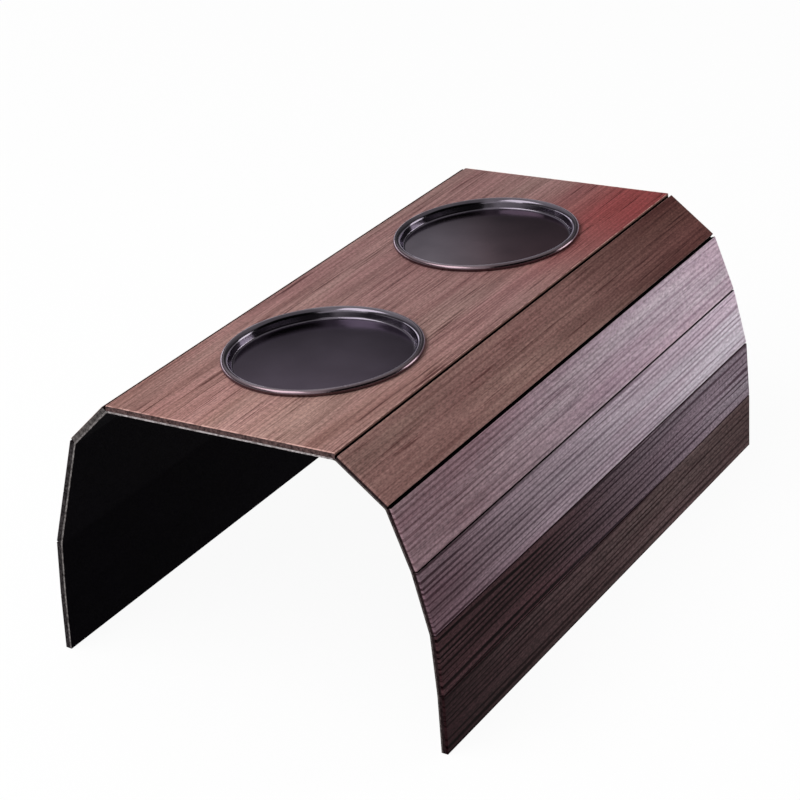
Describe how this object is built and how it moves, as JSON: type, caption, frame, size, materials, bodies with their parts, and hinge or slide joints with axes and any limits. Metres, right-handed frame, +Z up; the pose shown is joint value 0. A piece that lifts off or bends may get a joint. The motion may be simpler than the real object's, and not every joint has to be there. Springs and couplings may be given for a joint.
{
  "type": "sofa arm tray",
  "caption": "Sofa arm tray: a wooden panel with recessed round metal dishes, and slats on both sides that fold down over the arm on a bendable backing.",
  "frame": {"origin": "on the ground, under the middle of the tray's outline, folded as in the picture", "axes": "+X across the tray to the picture's right, +Y along the slats away from the camera, +Z up"},
  "size_m": [0.2537, 0.37, 0.1666],
  "materials": {
    "panel_wood": "satin wood grain along the length",
    "slat_wood": "satin wood grain along the length",
    "backing": "matt black, finely textured",
    "dish_metal": "glossy dark coating"
  },
  "bodies": {
    "centre": {"centre_panel": "panel_wood", "centre_backing": "backing"},
    "right_1": {"right_slat_1": "slat_wood", "right_backing_1": "backing", "right_fold_1": "backing"},
    "right_2": {"right_slat_2": "slat_wood", "right_backing_2": "backing", "right_fold_2": "backing"},
    "right_3": {"right_slat_3": "slat_wood", "right_backing_3": "backing", "right_fold_3": "backing"},
    "right_4": {"right_slat_4": "slat_wood", "right_backing_4": "backing", "right_fold_4": "backing"},
    "right_5": {"right_slat_5": "slat_wood", "right_backing_5": "backing", "right_fold_5": "backing"},
    "left_1": {"left_slat_1": "slat_wood", "left_backing_1": "backing", "left_fold_1": "backing"},
    "left_2": {"left_slat_2": "slat_wood", "left_backing_2": "backing", "left_fold_2": "backing"},
    "left_3": {"left_slat_3": "slat_wood", "left_backing_3": "backing", "left_fold_3": "backing"},
    "left_4": {"left_slat_4": "slat_wood", "left_backing_4": "backing", "left_fold_4": "backing"},
    "left_5": {"left_slat_5": "slat_wood", "left_backing_5": "backing", "left_fold_5": "backing"},
    "near_dish_body": {"near_dish": "dish_metal"},
    "far_dish_body": {"far_dish": "dish_metal"}
  },
  "joints": [
    {"name": "right_seam_1", "type": "hinge", "parent": "centre", "child": "right_1", "pos_m": [0.07683, 0, 0.16012], "axis": [0, 1, 0], "range_deg": [-39, 26], "deforming": ["right_fold_1"]},
    {"name": "right_seam_2", "type": "hinge", "parent": "right_1", "child": "right_2", "pos_m": [0.10418, 0, 0.13797], "axis": [0, 1, 0], "range_deg": [-32, 18], "deforming": ["right_fold_2"]},
    {"name": "right_seam_3", "type": "hinge", "parent": "right_2", "child": "right_3", "pos_m": [0.11564, 0, 0.10469], "axis": [0, 1, 0], "range_deg": [-7, 43], "deforming": ["right_fold_3"]},
    {"name": "right_seam_4", "type": "hinge", "parent": "right_3", "child": "right_4", "pos_m": [0.12296, 0, 0.07026], "axis": [0, 1, 0], "range_deg": [-10.5, 39.5], "deforming": ["right_fold_4"]},
    {"name": "right_seam_5", "type": "hinge", "parent": "right_4", "child": "right_5", "pos_m": [0.12388, 0, 0.03507], "axis": [0, 1, 0], "range_deg": [-3, 47], "deforming": ["right_fold_5"]},
    {"name": "left_seam_1", "type": "hinge", "parent": "centre", "child": "left_1", "pos_m": [-0.06757, 0, 0.16012], "axis": [0, -1, 0], "range_deg": [-42.25, 22.75], "deforming": ["left_fold_1"]},
    {"name": "left_seam_2", "type": "hinge", "parent": "left_1", "child": "left_2", "pos_m": [-0.09363, 0, 0.13646], "axis": [0, -1, 0], "range_deg": [-28.75, 21.25], "deforming": ["left_fold_2"]},
    {"name": "left_seam_3", "type": "hinge", "parent": "left_2", "child": "left_3", "pos_m": [-0.10509, 0, 0.10317], "axis": [0, -1, 0], "range_deg": [0, 50], "deforming": ["left_fold_3"]},
    {"name": "left_seam_4", "type": "hinge", "parent": "left_3", "child": "left_4", "pos_m": [-0.11655, 0, 0.06989], "axis": [0, -1, 0], "range_deg": [-12, 38], "deforming": ["left_fold_4"]},
    {"name": "left_seam_5", "type": "hinge", "parent": "left_4", "child": "left_5", "pos_m": [-0.12084, 0, 0.03495], "axis": [0, -1, 0], "range_deg": [-2, 48], "deforming": ["left_fold_5"]},
    {"name": "near_dish_lift", "type": "slide", "parent": "centre", "child": "near_dish_body", "axis": [0, 0, 1], "range_m": [0, 0.04]},
    {"name": "far_dish_lift", "type": "slide", "parent": "centre", "child": "far_dish_body", "axis": [0, 0, 1], "range_m": [0, 0.04]}
  ]
}
